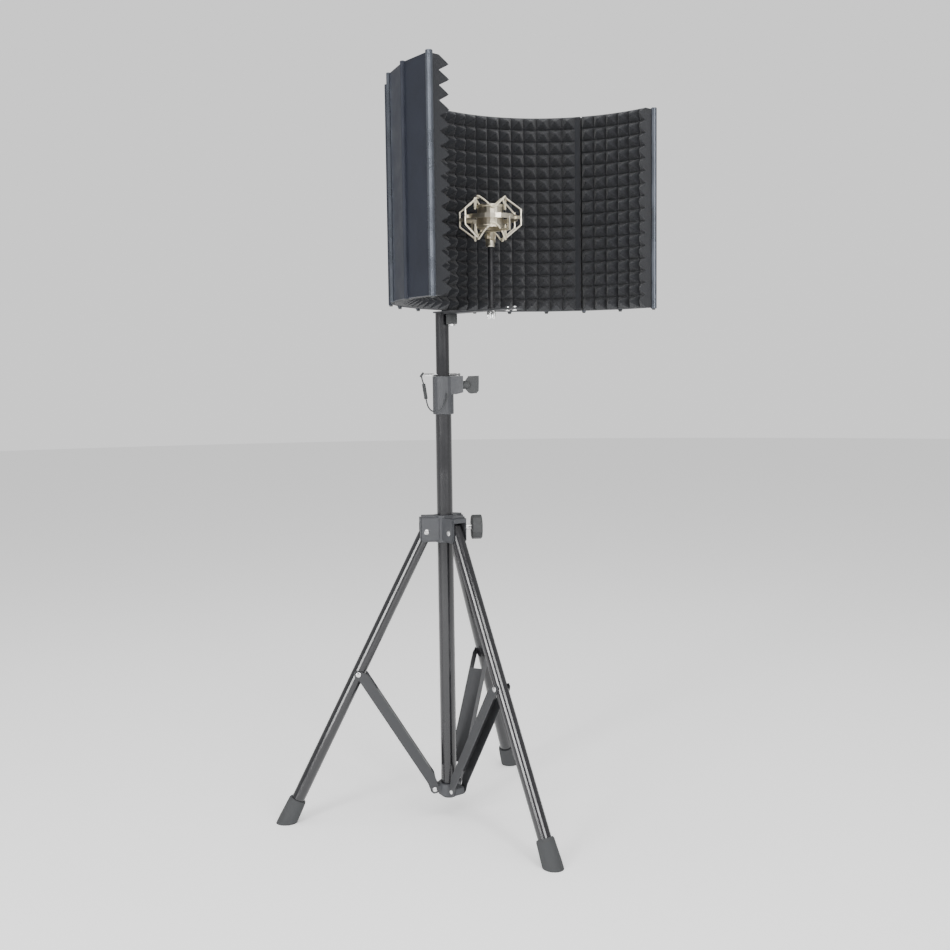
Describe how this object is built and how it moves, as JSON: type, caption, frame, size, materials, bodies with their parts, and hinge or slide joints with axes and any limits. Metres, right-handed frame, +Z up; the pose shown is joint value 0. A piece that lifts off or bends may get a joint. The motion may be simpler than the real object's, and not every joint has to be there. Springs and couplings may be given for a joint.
{
  "type": "microphone isolation shield",
  "caption": "Curved foam-lined metal shield with folding wings on a telescoping tripod stand, with a sprung shock mount that holds a microphone.",
  "frame": {"origin": "on the floor, under the middle of the object's box", "axes": "+Z up, along the mast; -Y is the side that the shield opens to; +X is to the right when looking along +Y into the open side"},
  "size_m": [0.5882, 0.5373, 1.3235],
  "materials": {
    "gloss_black_paint": "gloss",
    "matte_black_paint": "matte",
    "blue_grey_metal": "satin",
    "rib_metal": "satin",
    "dark_grey_plastic": "satin",
    "knob_plastic": "matte",
    "dark_rubber": "matte",
    "bright_steel": "satin",
    "chrome": "polished",
    "satin_nickel": "satin",
    "charcoal_foam": "matte",
    "cream_elastic": "matte"
  },
  "bodies": {
    "stand": {"pole_lower_tube": "gloss_black_paint", "pole_bottom_cap": "dark_grey_plastic", "spreader_collar": "dark_grey_plastic", "spreader_pin_left": "bright_steel", "spreader_pin_front": "bright_steel", "spreader_pin_right": "bright_steel", "height_collar": "dark_grey_plastic", "collar_bushing": "knob_plastic"},
    "hub": {"hub_casting": "dark_grey_plastic", "hub_rivet_left": "bright_steel", "hub_rivet_front": "bright_steel", "hub_rivet_right": "bright_steel"},
    "hub_knob": {"hub_knob": "knob_plastic", "hub_knob_screw": "bright_steel"},
    "height_knob": {"height_knob": "knob_plastic", "height_knob_screw": "bright_steel"},
    "leg_left": {"leg_tube_left": "gloss_black_paint", "brace_rivet_left": "bright_steel", "foot_left": "dark_rubber"},
    "leg_front": {"leg_tube_front": "gloss_black_paint", "brace_rivet_front": "bright_steel", "foot_front": "dark_rubber"},
    "leg_right": {"leg_tube_right": "gloss_black_paint", "brace_rivet_right": "bright_steel", "foot_right": "dark_rubber"},
    "brace_left": {"brace_left": "matte_black_paint"},
    "brace_front": {"brace_front": "matte_black_paint"},
    "brace_right": {"brace_right": "matte_black_paint"},
    "mast": {"mast_tube": "gloss_black_paint"},
    "safety_pin": {"safety_pin": "chrome", "safety_pin_head": "knob_plastic", "lanyard_top_cord": "dark_rubber", "lanyard_coil": "dark_rubber", "lanyard_loop_cord": "dark_rubber", "lanyard_end_knot": "dark_rubber"},
    "head": {"mount_plate": "matte_black_paint", "mast_spigot": "bright_steel", "boom_bar": "matte_black_paint", "boom_screw_rear": "bright_steel", "boom_screw_front": "bright_steel", "shell_center": "blue_grey_metal", "foam_center": "charcoal_foam", "hinge_rib_left": "rib_metal", "hinge_rib_right": "rib_metal"},
    "clamp_knob": {"clamp_knob": "knob_plastic", "clamp_bolt": "bright_steel"},
    "wing_left": {"shell_left": "blue_grey_metal", "foam_left": "charcoal_foam", "end_rib_left": "rib_metal"},
    "wing_right": {"shell_right": "blue_grey_metal", "foam_right": "charcoal_foam", "end_rib_right": "rib_metal"},
    "mic_rod": {"mic_rod": "gloss_black_paint", "thread_socket": "satin_nickel", "tilt_screw": "satin_nickel"},
    "rod_nut": {"rod_nut": "chrome"},
    "shock_mount": {"shock_frame": "satin_nickel", "elastic_cord_upper": "cream_elastic", "elastic_cord_lower": "cream_elastic"},
    "mic_clamp": {"mic_clamp": "satin_nickel"}
  },
  "joints": [
    {"name": "hub_slide", "type": "slide", "parent": "stand", "child": "hub", "axis": [0, 0, 1], "range_m": [0, 0.07007]},
    {"name": "leg_left_fold", "type": "hinge", "parent": "hub", "child": "leg_left", "pos_m": [-0.04187, 0.08086, 0.55], "axis": [-0.6157, -0.788, 0], "range_deg": [0, 24.05]},
    {"name": "leg_front_fold", "type": "hinge", "parent": "hub", "child": "leg_front", "pos_m": [-0.01851, 0.02305, 0.55], "axis": [0.9903, -0.1392, 0], "range_deg": [0, 24.05]},
    {"name": "leg_right_fold", "type": "hinge", "parent": "hub", "child": "leg_right", "pos_m": [0.01988, 0.07219, 0.55], "axis": [-0.3746, 0.9272, 0], "range_deg": [0, 24.05]},
    {"name": "brace_left_fold", "type": "hinge", "parent": "stand", "child": "brace_left", "pos_m": [-0.03556, 0.07594, 0.054], "axis": [0.6157, 0.788, 0], "range_deg": [0, 27.15]},
    {"name": "brace_front_fold", "type": "hinge", "parent": "stand", "child": "brace_front", "pos_m": [-0.0174, 0.03097, 0.054], "axis": [-0.9903, 0.1392, 0], "range_deg": [0, 27.15]},
    {"name": "brace_right_fold", "type": "hinge", "parent": "stand", "child": "brace_right", "pos_m": [0.01246, 0.06919, 0.054], "axis": [0.3746, -0.9272, 0], "range_deg": [0, 27.15]},
    {"name": "hub_knob_turn", "type": "hinge", "parent": "hub", "child": "hub_knob", "pos_m": [0.0259, 0.02792, 0.556], "axis": [0.788, -0.6157, 0], "continuous": true},
    {"name": "height_knob_turn", "type": "hinge", "parent": "stand", "child": "height_knob", "pos_m": [0.02196, 0.031, 0.824], "axis": [0.788, -0.6157, 0], "continuous": true},
    {"name": "mast_slide", "type": "slide", "parent": "stand", "child": "mast", "axis": [0, 0, 1], "range_m": [0, 0.48]},
    {"name": "pin_pull", "type": "slide", "parent": "mast", "child": "safety_pin", "axis": [-0.788, 0.6157, 0], "range_m": [0, 0.05]},
    {"name": "head_swivel", "type": "hinge", "parent": "mast", "child": "head", "pos_m": [-0.0135, 0.0587, 0.958], "axis": [0, 0, 1], "continuous": true},
    {"name": "clamp_knob_turn", "type": "hinge", "parent": "head", "child": "clamp_knob", "pos_m": [-0.0135, 0.0325, 0.94], "axis": [0, 0, 1], "continuous": true},
    {"name": "wing_left_fold", "type": "hinge", "parent": "head", "child": "wing_left", "pos_m": [-0.25166, -0.0838, 1.142], "axis": [0, 0, -1], "range_deg": [0, 70]},
    {"name": "wing_right_fold", "type": "hinge", "parent": "head", "child": "wing_right", "pos_m": [0.22466, -0.0838, 1.142], "axis": [0, 0, 1], "range_deg": [0, 70]},
    {"name": "mic_rod_slide", "type": "slide", "parent": "head", "child": "mic_rod", "axis": [0, -1, 0], "range_m": [-0.01, 0.0215]},
    {"name": "rod_nut_turn", "type": "hinge", "parent": "mic_rod", "child": "rod_nut", "pos_m": [-0.0135, -0.0713, 0.945], "axis": [0, 0, 1], "continuous": true},
    {"name": "shock_mount_tilt", "type": "hinge", "parent": "mic_rod", "child": "shock_mount", "pos_m": [-0.0135, -0.0713, 1.085], "axis": [1, 0, 0], "range_deg": [-20, 40]},
    {"name": "mic_clamp_float", "type": "slide", "parent": "shock_mount", "child": "mic_clamp", "axis": [0, 0, 1], "range_m": [-0.003, 0.003], "stiffness_N_per_m": 1500, "springref_m": 0.0007}
  ],
  "couplings": [
    {"joint": "leg_left_fold", "follows": "hub_slide", "rad_per_m": 5.978},
    {"joint": "leg_front_fold", "follows": "hub_slide", "rad_per_m": 5.978},
    {"joint": "leg_right_fold", "follows": "hub_slide", "rad_per_m": 5.978},
    {"joint": "brace_left_fold", "follows": "hub_slide", "rad_per_m": 6.7518},
    {"joint": "brace_front_fold", "follows": "hub_slide", "rad_per_m": 6.7518},
    {"joint": "brace_right_fold", "follows": "hub_slide", "rad_per_m": 6.7518}
  ]
}
